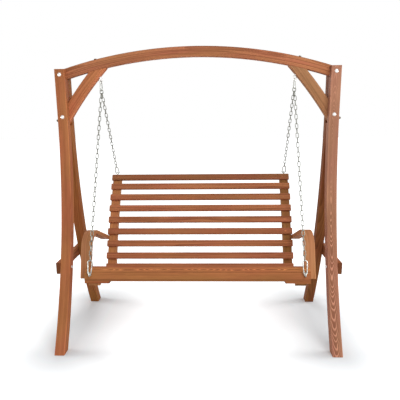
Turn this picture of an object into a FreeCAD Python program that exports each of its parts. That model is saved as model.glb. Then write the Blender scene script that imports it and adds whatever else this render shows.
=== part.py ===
import FreeCAD, Part
import math
import os

# Two-seat swing bench. A bowed timber stand with an arched top beam carries a slatted bench
# on four chains. Millimetres. X runs along the bench, Y to the back, Z up from the floor.

os.makedirs("parts", exist_ok=True)
V = FreeCAD.Vector

# Stand timbers
stand_half_width = 850.0
leg_width = 60.0
leg_gap = 2.0
leg_cheek = 46.0
leg_bend_radius = 2740.0
leg_bend_height = 1418.0
foot_straight = 60.0
beam_depth = 46.0
beam_height = 60.0
beam_radius = 2760.0
beam_crown = 1782.0
beam_setback = 4.0
beam_end_straight = 30.0
brace_width = 66.0
brace_radius = 2180.0
brace_foot_angle = 56.8
brace_bolt_drop = 247.0
brace_bolt_offset = 6.0
brace_foot_drop = 49.0
brace_nose = 5.5
shoulder_gap = 1.0
rail_height = 72.0
rail_thickness = 25.0
rail_foot = 433.0
timber_round = 4.0
joint_gap = 0.2

# Stand fasteners
leg_bolt = 10.0
leg_bolt_head = 23.0
leg_bolt_dome = 6.0
rail_bolt = 8.0
rail_bolt_head = 19.0
rail_bolt_dome = 5.0
bolt_clearance = 0.5
bolt_tail = 3.0
thread_clearance = 0.1
nut_height_ratio = 0.85
nut_width_ratio = 1.7
nut_flange_ratio = 2.1
nut_flange = 2.0
side_screw = 6.0
side_screw_head = 13.0
side_screw_dome = 6.0
side_screw_length = 40.0
side_screw_drop = 21.0

# Eyes, snap hooks and chains
eye_inset = 61.0
eye_wire = 7.0
eye_ring = 21.0
eye_shank = 8.0
beam_eye_gap = 1.0
screw_eye_depth = 40.0
screw_eye_collar = 16.0
screw_eye_collar_height = 2.5
front_eye_gap = 2.0
rear_eye_gap = 10.0
hook_wire = 7.0
hook_wide_end = 26.0
hook_narrow_end = 18.0
top_hook_length = 66.0
top_hook_turn = 15.0
front_hook_length = 86.0
rear_hook_length = 74.0
gate_wire = 6.0
gate_nose = 5.0
gate_hinge_drop = 9.0
gate_tip_gap = 0.4
gate_shoulder_gap = 0.8
tongue_thickness = 2.6
fork_clearance = 0.3
rivet = 2.2
rivet_clearance = 0.05
joining_wire = 5.0
joining_inner_length = 20.0
joining_inner_width = 13.0
chain_spread = 5.4
link_wire = 4.0
link_inner_length = 30.0
link_inner_width = 11.0
link_play = 0.12
swing_gap = 0.5

# Bench, drawn level from the corner of seat and back, then leaned back
bench_lean = 20.0
bench_corner_y = 48.0
bench_corner_z = 377.0
slat_length = 1270.0
slat_width = 43.0
slat_thickness = 22.0
slat_round = 4.0
slat_overhang = 5.0
back_radius = 2565.0
back_lean = 3.1
back_slats = 8
back_first_slat = 88.0
back_pitch = 85.5
back_top_pitch = 75.0
low_slat = 12.5
stile_width = 56.0
stile_depth = 50.0
stile_top_margin = 24.0
stile_foot = 66.0
stile_round = 4.0
seat_slats = 5
seat_first_slat = 38.0
seat_front_gap = 33.5
seat_dish_radius = 1700.0
seat_dish_middle = 200.0
seat_dish_depth = 8.0
front_rail_overhang = 25.0
front_rail_face = 453.5
front_rail_depth = 48.5
front_rail_height = 82.0
front_rail_drop = 9.0
front_rail_bevel_run = 33.5
front_rail_bevel_drop = 28.0
front_rail_under_run = 5.0
front_rail_under_rise = 13.0
front_rail_round = 2.5
corner_plate_thickness = 12.0
corner_plate_length = 147.0
corner_plate_chamfer = 10.0
corner_plate_setback = 6.0
lip_thickness = 12.0
lip_setback = 8.0
lip_heel = 12.0
arm_slat = 6
arm_lift = 2.0
arm_width = 64.0
arm_thickness = 24.0
arm_bend_radius = 130.0
arm_rear_reach = 75.0
arm_foot = 75.0
arm_round = 5.0
front_eye_inset = 33.0
front_eye_drop = 16.0
rear_eye_inset = 12.0
rear_eye_shift = 3.0

# Bench fasteners
wood_screw = 4.5
wood_screw_head = 9.0
wood_screw_countersink = 3.0
wood_screw_length = 46.0
wood_screw_inset = 14.0
arm_screw = 6.0
arm_screw_head = 12.0
arm_screw_countersink = 4.0
arm_screw_length = 90.0
screw_clearance = 0.1

# Values that follow from the sizes above
half_beam = beam_depth / 2
top_half_depth = half_beam + leg_cheek
leg_thickness = top_half_depth - leg_gap / 2
leg_centre = top_half_depth + leg_bend_radius
leg_middle = stand_half_width - leg_width / 2
leg_inside = stand_half_width - leg_width
rail_outside = stand_half_width + rail_thickness
beam_centre = V(0, 0, beam_crown - beam_radius)
beam_end = stand_half_width - beam_setback
beam_underside = beam_radius - beam_height
brace_reach = beam_underside - joint_gap
brace_low = brace_radius - brace_width / 2
brace_high = brace_radius + brace_width / 2
beam_bolt_height = beam_centre.z + math.sqrt((beam_radius - beam_height / 2) ** 2 - leg_middle ** 2)
brace_bolt_height = beam_bolt_height - brace_bolt_drop
brace_foot = brace_bolt_height - brace_foot_drop
rebate_foot = brace_foot - shoulder_gap
rail_middle = rail_foot + rail_height / 2
side_screw_height = brace_bolt_height - side_screw_drop
eye_radius = eye_ring / 2
eye_reach = eye_radius + eye_wire / 2
front_eye_stand_off = eye_reach + front_eye_gap
rear_eye_stand_off = eye_reach + rear_eye_gap
wide_radius = hook_wide_end / 2
narrow_radius = hook_narrow_end / 2
stile_outside = slat_length / 2 - slat_overhang
stile_inside = stile_outside - stile_width
stile_middle = stile_outside - stile_width / 2
slat_screw_x = stile_inside + wood_screw_inset
back_angle = math.radians(back_lean)
back_centre = V(0, back_radius * math.cos(back_angle), -back_radius * math.sin(back_angle))
back_top_slat = back_first_slat + (back_slats - 2) * back_pitch + back_top_pitch
back_top = back_top_slat + stile_top_margin
seat_centre_z = seat_dish_radius - seat_dish_depth
seat_bed_radius = seat_dish_radius + slat_thickness
slat_sagitta = seat_bed_radius - math.sqrt(seat_bed_radius ** 2 - (slat_width / 2) ** 2)
seat_bed = slat_thickness + slat_sagitta + joint_gap
front_rail_back = front_rail_face - front_rail_depth
front_rail_half = stile_outside + front_rail_overhang
front_rail_foot = front_rail_drop + front_rail_height
front_rail_break = front_rail_drop + front_rail_bevel_drop
front_eye_x = front_rail_half - front_eye_inset
lip_top = front_rail_foot + corner_plate_thickness
seat_rail_foot = lip_top + lip_thickness
seat_front_slat = front_rail_back - seat_front_gap - slat_width / 2
seat_pitch = (seat_front_slat - seat_first_slat) / (seat_slats - 1)
arm_gap = back_first_slat + (back_slats - arm_slat - 0.5) * back_pitch
arm_gap_height = back_centre.z + back_radius * math.sin(back_angle + arm_gap / back_radius)
arm_height = arm_gap_height + arm_thickness / 2 + arm_lift
arm_bend_y = arm_bend_radius - front_rail_back
arm_bend_z = arm_height - arm_bend_radius
bench_place = FreeCAD.Placement(V(0, bench_corner_y, bench_corner_z),
                                FreeCAD.Rotation(V(1, 0, 0), -bench_lean))
x_axis = V(1, 0, 0)
y_axis = V(0, 1, 0)
z_axis = V(0, 0, 1)
sides = {"left": -1, "right": 1}
ends = {"front": -1, "rear": 1}


# Drawing helpers

def line(start, end):
    return Part.LineSegment(start, end).toShape()


def arc(start, middle, end):
    return Part.Arc(start, middle, end).toShape()


def prism(edges, direction):
    return Part.Face(Part.Wire(edges)).extrude(direction)


def polygon_prism(corners, direction):
    return Part.Face(Part.makePolygon(corners + corners[:1])).extrude(direction)


def turned(corners):
    """Solid of revolution about Z from corners given as radius and height."""
    points = [V(radius, 0, height) for radius, height in corners]
    return Part.Face(Part.makePolygon(points + points[:1])).revolve(V(), z_axis, 360)


def rounded_section(corner, width, height, radius):
    """Rectangle with rounded corners, from its first corner along two directions."""
    across = unit(width)
    upward = unit(height)
    round_middle = radius * (1 - math.sqrt(0.5))
    starts = [corner, corner + width, corner + width + height, corner + height]
    turns = [(across, upward), (upward, -across), (-across, -upward), (-upward, across)]
    edges = []
    for step in range(4):
        point = starts[step]
        forward, inward = turns[step]
        following = starts[(step + 1) % 4]
        edges.append(arc(point + inward * radius, point + (forward + inward) * round_middle,
                         point + forward * radius))
        edges.append(line(point + forward * radius, following - forward * radius))
    return Part.Face(Part.Wire(edges))


def rod(start, end, diameter):
    return Part.makeCylinder(diameter / 2, (end - start).Length, start, end - start)


def unit(vector):
    return vector * (1.0 / vector.Length)


def placing(origin, along, normal):
    """Placement with Z along one direction and Y as near as can be to another."""
    across = unit(normal.cross(along))
    upright = unit(along)
    turn = FreeCAD.Rotation(across, upright.cross(across), upright, "ZXY")
    return FreeCAD.Placement(origin, turn)


def placed(shape, origin, along, normal):
    copy = shape.copy()
    copy.Placement = placing(origin, along, normal)
    return copy


def on_side(shape, side):
    """The right-hand shape as it is, or its mirror image for the left-hand side."""
    return shape if side > 0 else shape.mirror(V(), x_axis)


def on_bench(shape):
    copy = shape.copy()
    copy.Placement = bench_place.multiply(copy.Placement)
    return copy


def long_edges(shape, least):
    return [edge for edge in shape.Edges if edge.Length > least]


def save(name, shape):
    shape.exportStep("parts/" + name + ".step")


def save_group(name, solids):
    save(name, Part.makeCompound(solids))


# Fasteners, each seated at the origin and running along Z

def dome_bolt(diameter, head, dome, length):
    sphere = (dome ** 2 + (head / 2) ** 2) / (2 * dome)
    half_turn = math.asin(head / 2 / sphere) / 2
    top = V(0, 0, -dome)
    middle = V(sphere * math.sin(half_turn), 0, sphere - dome - sphere * math.cos(half_turn))
    rim = V(head / 2, 0, 0)
    neck = V(diameter / 2, 0, 0)
    tip = V(diameter / 2, 0, length)
    end = V(0, 0, length)
    edges = [arc(top, middle, rim), line(rim, neck), line(neck, tip), line(tip, end), line(end, top)]
    return Part.Face(Part.Wire(edges)).revolve(V(), z_axis, 360)


def flange_nut(diameter):
    height = diameter * nut_height_ratio
    corner_radius = diameter * nut_width_ratio / 2 / math.cos(math.pi / 6)
    corners = [V(corner_radius * math.cos(step * math.pi / 3),
                 corner_radius * math.sin(step * math.pi / 3), 0) for step in range(6)]
    nut = polygon_prism(corners, V(0, 0, height))
    nut = nut.fuse(Part.makeCylinder(diameter * nut_flange_ratio / 2, nut_flange)).removeSplitter()
    return nut.cut(rod(V(), V(0, 0, height), diameter + thread_clearance))


def countersunk_screw(diameter, head, countersink, length):
    return turned([(0, 0), (head / 2, 0), (diameter / 2, countersink),
                   (diameter / 2, length - diameter), (0, length)])


def eye(shank_length):
    """Ring about the origin in the XZ plane with its shank up along Z."""
    ring = Part.makeTorus(eye_radius, eye_wire / 2, V(), y_axis)
    return ring.fuse(rod(V(0, 0, eye_radius), V(0, 0, shank_length), eye_shank)).removeSplitter()


def screw_eye(stand_off):
    collar = rod(V(0, 0, stand_off - screw_eye_collar_height), V(0, 0, stand_off), screw_eye_collar)
    return eye(stand_off + screw_eye_depth).fuse(collar).removeSplitter()


def nut_stack(diameter):
    """Length of bolt beyond the timber, for the nut and a little thread."""
    return diameter * nut_height_ratio + bolt_tail


# Stand

def leg_face(height, radius):
    """Distance of a bowed leg face from the stand's mid-plane."""
    drop = max(0.0, leg_bend_height - height)
    return leg_centre - math.sqrt(radius ** 2 - drop ** 2)


def leg_outer(height):
    return leg_face(height, leg_bend_radius)


def leg_inner(height):
    return leg_face(height, leg_bend_radius + leg_thickness)


def beam_z(x, radius):
    return beam_centre.z + math.sqrt(radius ** 2 - x ** 2)


post_height = beam_z(leg_middle, beam_radius)
rail_bolt_y = (leg_outer(rail_middle) + leg_inner(rail_middle)) / 2


brace_lean = math.radians(brace_foot_angle)
brace_outward = V(math.sin(brace_lean), 0, math.cos(brace_lean))
brace_centre = V(leg_middle, 0, brace_bolt_height) - brace_outward * (brace_bolt_offset + brace_radius)


def brace_z(x, radius):
    """Height of a bowed brace edge, or of a line beside it, at a distance along the bench."""
    return brace_centre.z + math.sqrt(radius ** 2 - (x - brace_centre.x) ** 2)


def brace_meets_beam(radius):
    """Where an edge of the brace meets the underside of the beam."""
    between = brace_centre - beam_centre
    toward = unit(between)
    along = (brace_reach ** 2 - radius ** 2 + between.Length ** 2) / (2 * between.Length)
    across = math.sqrt(brace_reach ** 2 - along ** 2)
    return beam_centre + toward * along + V(toward.z, 0, -toward.x) * across


brace_tip = brace_meets_beam(brace_low)
eye_angle = math.asin(brace_tip.x / brace_reach) + eye_inset / brace_reach
eye_line_up = V(math.sin(eye_angle), 0, math.cos(eye_angle))


def eye_line(distance):
    """Point on the right-hand eye bolt's line, at a distance from the centre of the arch."""
    return beam_centre + eye_line_up * distance


centre_offset = beam_centre - brace_centre
centre_run = eye_line_up.dot(centre_offset)
eye_emerges = math.sqrt(centre_run ** 2 + brace_low ** 2 - centre_offset.Length ** 2) - centre_run
eye_slope = eye_line_up.dot(unit(eye_line(eye_emerges) - brace_centre))
beam_eye_centre = eye_line(eye_emerges - (eye_reach + beam_eye_gap) / eye_slope)
eye_hole = rod(beam_eye_centre, eye_line(beam_radius + beam_height), eye_shank + bolt_clearance)


def side_screw_solid(diameter):
    seat = V(stand_half_width, -half_beam - leg_cheek / 2, side_screw_height)
    screw = dome_bolt(diameter, side_screw_head, side_screw_dome, side_screw_length)
    return placed(screw, seat, -x_axis, z_axis)


def notch(low_inside, low_outside, high_inside, high_outside):
    """Cutter across a leg, given the heights of its floor and roof inside and outside the leg."""
    inside = leg_inside - leg_width / 2
    outside = stand_half_width + leg_width / 2
    corners = [V(inside, -half_beam, low_inside), V(outside, -half_beam, low_outside),
               V(outside, -half_beam, high_outside), V(inside, -half_beam, high_inside)]
    return polygon_prism(corners, V(0, beam_depth, 0))


def beam_notch():
    inside = beam_z(leg_inside - leg_width / 2, beam_underside) - shoulder_gap
    outside = beam_z(stand_half_width + leg_width / 2, beam_underside) - shoulder_gap
    return notch(inside, outside, inside + 2 * beam_height, outside + 2 * beam_height)


def brace_notch():
    roof = brace_z(leg_middle, brace_high + shoulder_gap)
    slope = (leg_middle - brace_centre.x) / (roof - brace_centre.z)
    return notch(rebate_foot, rebate_foot, roof + slope * leg_width, roof - slope * leg_width)


def leg(end):
    """Right-hand leg: straight post, bowed below, straight in the foot, notched for beam and brace."""
    inner_face = top_half_depth - leg_thickness
    section = rounded_section(V(leg_inside, end * inner_face, leg_bend_height), V(leg_width, 0, 0),
                              V(0, end * leg_thickness, 0), timber_round)
    sweep = end * math.degrees(math.asin((leg_bend_height - foot_straight) / leg_bend_radius))
    turn = FreeCAD.Placement(V(), FreeCAD.Rotation(x_axis, sweep), V(0, end * leg_centre, leg_bend_height))
    post = section.extrude(V(0, 0, post_height - leg_bend_height))
    bowed = section.revolve(V(0, end * leg_centre, leg_bend_height), x_axis, sweep)
    foot = section.extrude(V(0, 0, -2 * foot_straight))
    foot.Placement = turn
    body = post.fuse([bowed, foot]).removeSplitter()
    below_floor = Part.makeBox(2 * leg_width, 4 * leg_outer(0), leg_bend_height,
                               V(leg_inside - leg_width / 2, -2 * leg_outer(0), -leg_bend_height))
    body = body.cut([below_floor, beam_notch(), brace_notch()])
    for height in (beam_bolt_height, brace_bolt_height):
        axis_foot = V(leg_middle, 0, height)
        body = body.cut(rod(axis_foot, axis_foot + V(0, end * leg_outer(0), 0),
                            leg_bolt + bolt_clearance))
    rail_hole = V(0, end * rail_bolt_y, rail_middle)
    body = body.cut(rod(rail_hole, rail_hole + V(rail_outside, 0, 0), rail_bolt + bolt_clearance))
    if end == ends["front"]:
        body = body.cut(side_screw_solid(side_screw + screw_clearance))
    return body


def leg_bolt_hole(height):
    start = V(leg_middle, -top_half_depth, height)
    return rod(start, start + V(0, 2 * top_half_depth, 0), leg_bolt + bolt_clearance)


def arch_beam():
    section = rounded_section(V(0, -half_beam, beam_crown - beam_height), V(0, beam_depth, 0),
                              V(0, 0, beam_height), timber_round)
    sweep = math.degrees(math.asin((beam_end - beam_end_straight) / beam_radius))
    turned_section = section.copy()
    turned_section.rotate(beam_centre, y_axis, -sweep)
    body = turned_section.revolve(beam_centre, y_axis, 2 * sweep)
    for side in sides.values():
        straight = section.extrude(V(side * (beam_end_straight + beam_height), 0, 0))
        straight.Placement = FreeCAD.Placement(V(), FreeCAD.Rotation(y_axis, side * sweep), beam_centre)
        body = body.fuse(straight)
    body = body.removeSplitter()
    body = body.common(Part.makeBox(2 * beam_end, beam_depth, beam_crown, V(-beam_end, -half_beam, 0)))
    for side in sides.values():
        body = body.cut(on_side(leg_bolt_hole(beam_bolt_height), side))
        body = body.cut(on_side(eye_hole, side))
    return body


def knee_brace():
    def under_beam(x):
        return V(x, 0, beam_z(x, brace_reach))

    def edge_point(x, radius):
        return V(x, 0, brace_z(x, radius))

    nose_low = edge_point(brace_tip.x + brace_nose, brace_low)
    nose_high = under_beam(nose_low.x)
    top = brace_meets_beam(brace_high)
    outer_high = edge_point(beam_end, brace_high)
    outer_low = V(beam_end, 0, brace_foot)
    foot_run = math.sqrt(brace_low ** 2 - (brace_foot - brace_centre.z) ** 2)
    foot = V(brace_centre.x + foot_run, 0, brace_foot)
    high_middle = edge_point((top.x + outer_high.x) / 2, brace_high)
    low_middle = edge_point((foot.x + nose_low.x) / 2, brace_low)
    edges = [line(nose_low, nose_high), arc(nose_high, under_beam((nose_low.x + top.x) / 2), top),
             arc(top, high_middle, outer_high), line(outer_high, outer_low), line(outer_low, foot),
             arc(foot, low_middle, nose_low)]
    body = prism(edges, V(0, beam_depth, 0)).translated(V(0, -half_beam, 0))
    body = body.makeFillet(timber_round, long_edges(body, 2 * brace_width))
    return body.cut(leg_bolt_hole(brace_bolt_height)).cut(eye_hole)


def side_rail():
    half_length = leg_outer(rail_middle)
    body = Part.makeBox(rail_thickness, 2 * half_length, rail_height,
                        V(stand_half_width, -half_length, rail_foot))
    body = body.makeFillet(timber_round, long_edges(body, 2 * rail_height))
    for end in ends.values():
        start = V(leg_inside, end * rail_bolt_y, rail_middle)
        body = body.cut(rod(start, start + V(leg_width + rail_thickness, 0, 0),
                            rail_bolt + bolt_clearance))
    return body


for side_name, side in sides.items():
    for end_name, end in ends.items():
        save(end_name + "_leg_" + side_name, on_side(leg(end), side))
    save("knee_brace_" + side_name, on_side(knee_brace(), side))
    save("side_rail_" + side_name, on_side(side_rail(), side))
save("arch_beam", arch_beam())

leg_bolts = []
leg_nuts = []
rail_bolts = []
rail_nuts = []
side_screws = []
beam_eyes = []
beam_eye_nuts = []
for side in sides.values():
    for height in (beam_bolt_height, brace_bolt_height):
        seat = leg_outer(height - leg_bolt_head / 2) + joint_gap
        bolt = dome_bolt(leg_bolt, leg_bolt_head, leg_bolt_dome, 2 * seat + nut_stack(leg_bolt))
        leg_bolts.append(placed(bolt, V(side * leg_middle, -seat, height), y_axis, z_axis))
        leg_nuts.append(placed(flange_nut(leg_bolt), V(side * leg_middle, seat, height), y_axis, z_axis))
    for end in ends.values():
        inward = V(-side, 0, 0)
        bolt = dome_bolt(rail_bolt, rail_bolt_head, rail_bolt_dome,
                         rail_thickness + leg_width + nut_stack(rail_bolt))
        rail_bolts.append(placed(bolt, V(side * rail_outside, end * rail_bolt_y, rail_middle),
                                 inward, z_axis))
        rail_nuts.append(placed(flange_nut(rail_bolt), V(side * leg_inside, end * rail_bolt_y, rail_middle),
                                inward, z_axis))
    side_screws.append(on_side(side_screw_solid(side_screw), side))
    bolt = eye((eye_line(beam_radius) - beam_eye_centre).Length + nut_stack(eye_shank))
    beam_eyes.append(on_side(placed(bolt, beam_eye_centre, eye_line_up, y_axis), side))
    nut = placed(flange_nut(eye_shank), eye_line(beam_radius), eye_line_up, y_axis)
    beam_eye_nuts.append(on_side(nut, side))
save_group("leg_bolts", leg_bolts)
save_group("leg_nuts", leg_nuts)
save_group("rail_bolts", rail_bolts)
save_group("rail_nuts", rail_nuts)
save_group("side_screws", side_screws)
save_group("beam_eye_bolts", beam_eyes)
save_group("beam_eye_nuts", beam_eye_nuts)


# Bench

def back_point(x, distance, depth):
    """Point at a distance up the curve of the back, and a depth behind the slats' faces."""
    angle = back_angle + distance / back_radius
    radius = back_radius - depth
    return back_centre + V(x, -radius * math.cos(angle), radius * math.sin(angle))


def back_up(distance):
    angle = back_angle + distance / back_radius
    return V(0, math.sin(angle), math.cos(angle))


def behind(up):
    return V(0, up.z, -up.y)


def seat_z(forward, depth):
    """Height of the dished seat, or of a surface at a depth under it."""
    return seat_centre_z - math.sqrt((seat_dish_radius + depth) ** 2 - (forward - seat_dish_middle) ** 2)


def stile_front_y(height):
    radius = back_radius - slat_thickness
    return back_centre.y - math.sqrt(radius ** 2 - (height - back_centre.z) ** 2)


def wood_screw_solid(clearance):
    return countersunk_screw(wood_screw + clearance, wood_screw_head + clearance,
                             wood_screw_countersink, wood_screw_length)


def slat():
    """Slat along X with its face at Y zero, its thickness to +Y and a screw hole at each end."""
    body = Part.makeBox(slat_length, slat_thickness, slat_width,
                        V(-slat_length / 2, 0, -slat_width / 2))
    body = body.makeFillet(slat_round, long_edges(body, 2 * slat_width))
    for side in sides.values():
        body = body.cut(placed(wood_screw_solid(screw_clearance), V(side * slat_screw_x, 0, 0),
                               y_axis, z_axis))
    return body


slat_places = {}
back_places = [back_first_slat + step * back_pitch for step in range(back_slats - 1)]
for number, distance in enumerate([back_top_slat] + back_places[::-1] + [low_slat], 1):
    slat_places["back_slat_%d" % number] = (back_point(0, distance, 0), back_up(distance))
for number in range(1, seat_slats + 1):
    forward = seat_first_slat + (seat_slats - number) * seat_pitch
    slope = math.asin((forward - seat_dish_middle) / seat_dish_radius)
    slat_places["seat_slat_%d" % number] = (V(0, -forward, seat_z(forward, 0)),
                                            V(0, math.cos(slope), -math.sin(slope)))

wood_screws = []
for name, (centre, up) in slat_places.items():
    save(name, on_bench(placed(slat(), centre, up, behind(up))))
    for side in sides.values():
        start = centre + V(side * slat_screw_x, 0, 0)
        wood_screws.append(placed(wood_screw_solid(0), start, behind(up), up))
wood_screw_holes = [placed(wood_screw_solid(screw_clearance), screw.Placement.Base,
                           screw.Placement.Rotation.multVec(z_axis),
                           screw.Placement.Rotation.multVec(y_axis)) for screw in wood_screws]
lip_screw_y = front_rail_depth / 2 - front_rail_face
for side in sides.values():
    start = V(side * slat_screw_x, lip_screw_y, -seat_rail_foot)
    wood_screws.append(placed(wood_screw_solid(0), start, z_axis, y_axis))
    wood_screw_holes.append(placed(wood_screw_solid(screw_clearance), start, z_axis, y_axis))
save_group("wood_screws", [on_bench(screw) for screw in wood_screws])


def without_screws(body, holes):
    near = [hole for hole in holes if hole.BoundBox.intersect(body.BoundBox)]
    return body.cut(near)


arm_screw_z = arm_height - arm_thickness / 2
arm_screw_seats = [V(stile_inside, (stile_front_y(arm_screw_z) + arm_rear_reach) / 2, arm_screw_z),
                   V(stile_inside, arm_thickness / 2 - front_rail_back, -(arm_foot + slat_thickness) / 2)]


def arm_screw_solid(seat, clearance):
    screw = countersunk_screw(arm_screw + clearance, arm_screw_head + clearance,
                              arm_screw_countersink, arm_screw_length)
    return placed(screw, seat, x_axis, z_axis)


arm_screw_holes = [arm_screw_solid(seat, screw_clearance) for seat in arm_screw_seats]
save_group("arm_screws", [on_bench(on_side(arm_screw_solid(seat, 0), side))
                          for seat in arm_screw_seats for side in sides.values()])


def front_eye_local():
    return V(front_eye_x, -front_rail_face - front_eye_stand_off, -front_rail_break - front_eye_drop)


def rear_eye_local():
    return (back_point(stile_middle + rear_eye_shift, back_top, slat_thickness + rear_eye_inset)
            + back_up(back_top) * rear_eye_stand_off)


front_eye = placed(screw_eye(front_eye_stand_off), front_eye_local(), y_axis, x_axis)
rear_eye = placed(screw_eye(rear_eye_stand_off), rear_eye_local(), -back_up(back_top), x_axis)


def back_stile():
    def corner(distance, depth):
        return back_point(stile_inside, distance, depth)

    back_face = slat_thickness + stile_depth
    foot = -stile_foot
    middle = (foot + back_top) / 2
    edges = [arc(corner(foot, slat_thickness), corner(middle, slat_thickness),
                 corner(back_top, slat_thickness)),
             line(corner(back_top, slat_thickness), corner(back_top, back_face)),
             arc(corner(back_top, back_face), corner(middle, back_face), corner(foot, back_face)),
             line(corner(foot, back_face), corner(foot, slat_thickness))]
    body = prism(edges, V(stile_width, 0, 0))
    rear_half = corner(middle, slat_thickness + stile_depth / 2).y
    rear_edges = [edge for edge in long_edges(body, 2 * stile_width) if edge.CenterOfMass.y > rear_half]
    body = body.makeFillet(stile_round, rear_edges)
    return without_screws(body, wood_screw_holes + arm_screw_holes + [rear_eye])


def seat_rail():
    def corner(y, z):
        return V(stile_inside, y, z)

    def rear(height):
        return corner(stile_front_y(height) - joint_gap, height)

    rear_top = seat_z(-slat_thickness, seat_bed)
    dish = corner(-seat_dish_middle, seat_z(seat_dish_middle, seat_bed))
    front_top = corner(-front_rail_back, seat_z(front_rail_back, seat_bed))
    front_low = corner(-front_rail_back, -lip_top)
    lip_high = corner(lip_setback - front_rail_face, -lip_top)
    lip_low = corner(lip_setback - front_rail_face, -seat_rail_foot)
    heel = corner(lip_heel - front_rail_back, -seat_rail_foot)
    heel_top = heel + V(0, seat_rail_foot - front_rail_foot, seat_rail_foot - front_rail_foot)
    edges = [arc(rear(rear_top), dish, front_top), line(front_top, front_low), line(front_low, lip_high),
             line(lip_high, lip_low), line(lip_low, heel), line(heel, heel_top),
             line(heel_top, rear(-stile_foot)),
             arc(rear(-stile_foot), rear((rear_top - stile_foot) / 2), rear(rear_top))]
    body = prism(edges, V(stile_width, 0, 0))
    return without_screws(body, wood_screw_holes + arm_screw_holes)


def front_rail():
    def corner(forward, drop):
        return V(-front_rail_half, -forward, -drop)

    body = polygon_prism([corner(front_rail_back, front_rail_foot),
                          corner(front_rail_face - front_rail_under_run, front_rail_foot),
                          corner(front_rail_face, front_rail_foot - front_rail_under_rise),
                          corner(front_rail_face, front_rail_break),
                          corner(front_rail_face - front_rail_bevel_run, front_rail_drop),
                          corner(front_rail_back, front_rail_drop)], V(2 * front_rail_half, 0, 0))
    front_edges = [edge for edge in long_edges(body, 2 * front_rail_depth)
                   if edge.CenterOfMass.y < -front_rail_back - front_rail_round]
    body = body.makeFillet(front_rail_round, front_edges)
    eyes = [on_side(front_eye, side) for side in sides.values()]
    return without_screws(body, wood_screw_holes + eyes)


def corner_plate():
    outer = front_rail_half
    inner = outer - corner_plate_length
    front = corner_plate_setback - front_rail_face
    body = polygon_prism([V(outer, front, -front_rail_foot), V(inner, front, -front_rail_foot),
                          V(inner + corner_plate_chamfer, front, -lip_top), V(outer, front, -lip_top)],
                         V(0, front_rail_depth - corner_plate_setback, 0))
    return without_screws(body, wood_screw_holes)


def arm():
    """Bent plank: level along the side, then down behind the front rail."""
    def corner(y, z):
        return V(stile_outside, y, z)

    def bend(radius, degrees):
        angle = math.radians(degrees)
        return corner(arm_bend_y - radius * math.cos(angle), arm_bend_z + radius * math.sin(angle))

    outer = arm_bend_radius
    inner = arm_bend_radius - arm_thickness
    rear_high = corner(arm_rear_reach, arm_height)
    rear_low = corner(arm_rear_reach, arm_height - arm_thickness)
    foot_front = corner(-front_rail_back, -arm_foot)
    foot_back = corner(arm_thickness - front_rail_back, -arm_foot)
    edges = [line(rear_high, bend(outer, 90)), arc(bend(outer, 90), bend(outer, 45), bend(outer, 0)),
             line(bend(outer, 0), foot_front), line(foot_front, foot_back),
             line(foot_back, bend(inner, 0)), arc(bend(inner, 0), bend(inner, 45), bend(inner, 90)),
             line(bend(inner, 90), rear_low), line(rear_low, rear_high)]
    body = prism(edges, V(arm_width, 0, 0))
    outside = [edge for edge in long_edges(body, 2 * arm_width)
               if edge.CenterOfMass.x > stile_outside + arm_width / 2]
    body = body.makeFillet(arm_round, outside)
    return without_screws(body, arm_screw_holes)


for side_name, side in sides.items():
    save("back_stile_" + side_name, on_bench(on_side(back_stile(), side)))
    save("seat_rail_" + side_name, on_bench(on_side(seat_rail(), side)))
    save("corner_plate_" + side_name, on_bench(on_side(corner_plate(), side)))
    save("arm_" + side_name, on_bench(on_side(arm(), side)))
save("front_rail", on_bench(front_rail()))
save_group("front_screw_eyes", [on_bench(on_side(front_eye, side)) for side in sides.values()])
save_group("rear_screw_eyes", [on_bench(on_side(rear_eye, side)) for side in sides.values()])


# Snap hooks: wide end about the origin, narrow end up along Z, gate on the +X side

def hook_spread(length):
    """Distance between the centres of a hook's two round ends."""
    return length - wide_radius - narrow_radius - hook_wire


def hook_points(length):
    """Where the wide bend ends, where the narrow bend begins and the direction between."""
    spread = hook_spread(length)
    lean = math.asin((wide_radius - narrow_radius) / spread)
    outward = V(math.cos(lean), 0, math.sin(lean))
    low = outward * wide_radius
    high = outward * narrow_radius + V(0, 0, spread)
    return low, high, unit(high - low)


def hook_hinge(length):
    low, high, upward = hook_points(length)
    return high - upward * gate_hinge_drop


def hook_body(length):
    low, high, upward = hook_points(length)
    hinge = hook_hinge(length)
    nose = low + upward * gate_nose
    stub = hinge + upward * (gate_wire / 2 + gate_shoulder_gap)
    spread = hook_spread(length)
    low_left = V(-low.x, 0, low.z)
    high_left = V(-high.x, 0, high.z)
    path = Part.Wire([line(nose, low), arc(low, V(0, 0, -wide_radius), low_left), line(low_left, high_left),
                      arc(high_left, V(0, 0, spread + narrow_radius), high), line(high, stub)])
    wire_end = Part.Wire(Part.makeCircle(hook_wire / 2, nose, -upward))
    body = path.makePipeShell([wire_end], True, True)
    across = V(upward.z, 0, -upward.x) * (gate_wire / 2)
    half_tongue = V(0, tongue_thickness / 2, 0)
    root = stub + upward * gate_shoulder_gap
    tongue = polygon_prism([hinge - across - half_tongue, hinge + across - half_tongue,
                            root + across - half_tongue, root - across - half_tongue], half_tongue * 2)
    knuckle = rod(hinge - half_tongue, hinge + half_tongue, gate_wire)
    half_rivet = V(0, gate_wire / 2, 0)
    return body.fuse([tongue, knuckle, rod(hinge - half_rivet, hinge + half_rivet, rivet)]).removeSplitter()


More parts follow.
